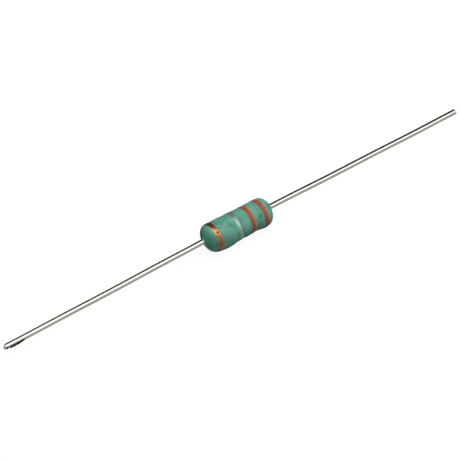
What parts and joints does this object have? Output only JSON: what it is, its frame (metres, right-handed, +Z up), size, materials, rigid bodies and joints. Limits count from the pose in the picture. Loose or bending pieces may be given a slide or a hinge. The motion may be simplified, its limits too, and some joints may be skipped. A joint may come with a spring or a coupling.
{
  "type": "axial resistor",
  "caption": "Wirewound axial resistor: green coated body with colour bands and a straight tinned lead at each end.",
  "frame": {"origin": "middle of the coated body, on the common axis of the two leads", "axes": "+X along the leads, from the tolerance band's end to the first digit band's end; +Z up from the side on which the coat sank"},
  "size_m": [0.0784, 0.0044, 0.0043],
  "materials": {
    "ceramic": "matte",
    "copper_nickel": "drawn",
    "cap_steel": "tin plated",
    "tinned_copper": "bright tin",
    "cement_coat": "satin",
    "orange_paint": "satin",
    "silver_paint": "metallic",
    "gold_paint": "metallic"
  },
  "bodies": {
    "root": {"ceramic_core": "ceramic", "resistance_wire": "copper_nickel", "left_cap": "cap_steel", "right_cap": "cap_steel", "left_lead": "tinned_copper", "right_lead": "tinned_copper", "coating": "cement_coat", "first_digit_band": "orange_paint", "second_digit_band": "orange_paint", "multiplier_band": "silver_paint", "tolerance_band": "gold_paint"}
  },
  "joints": []
}
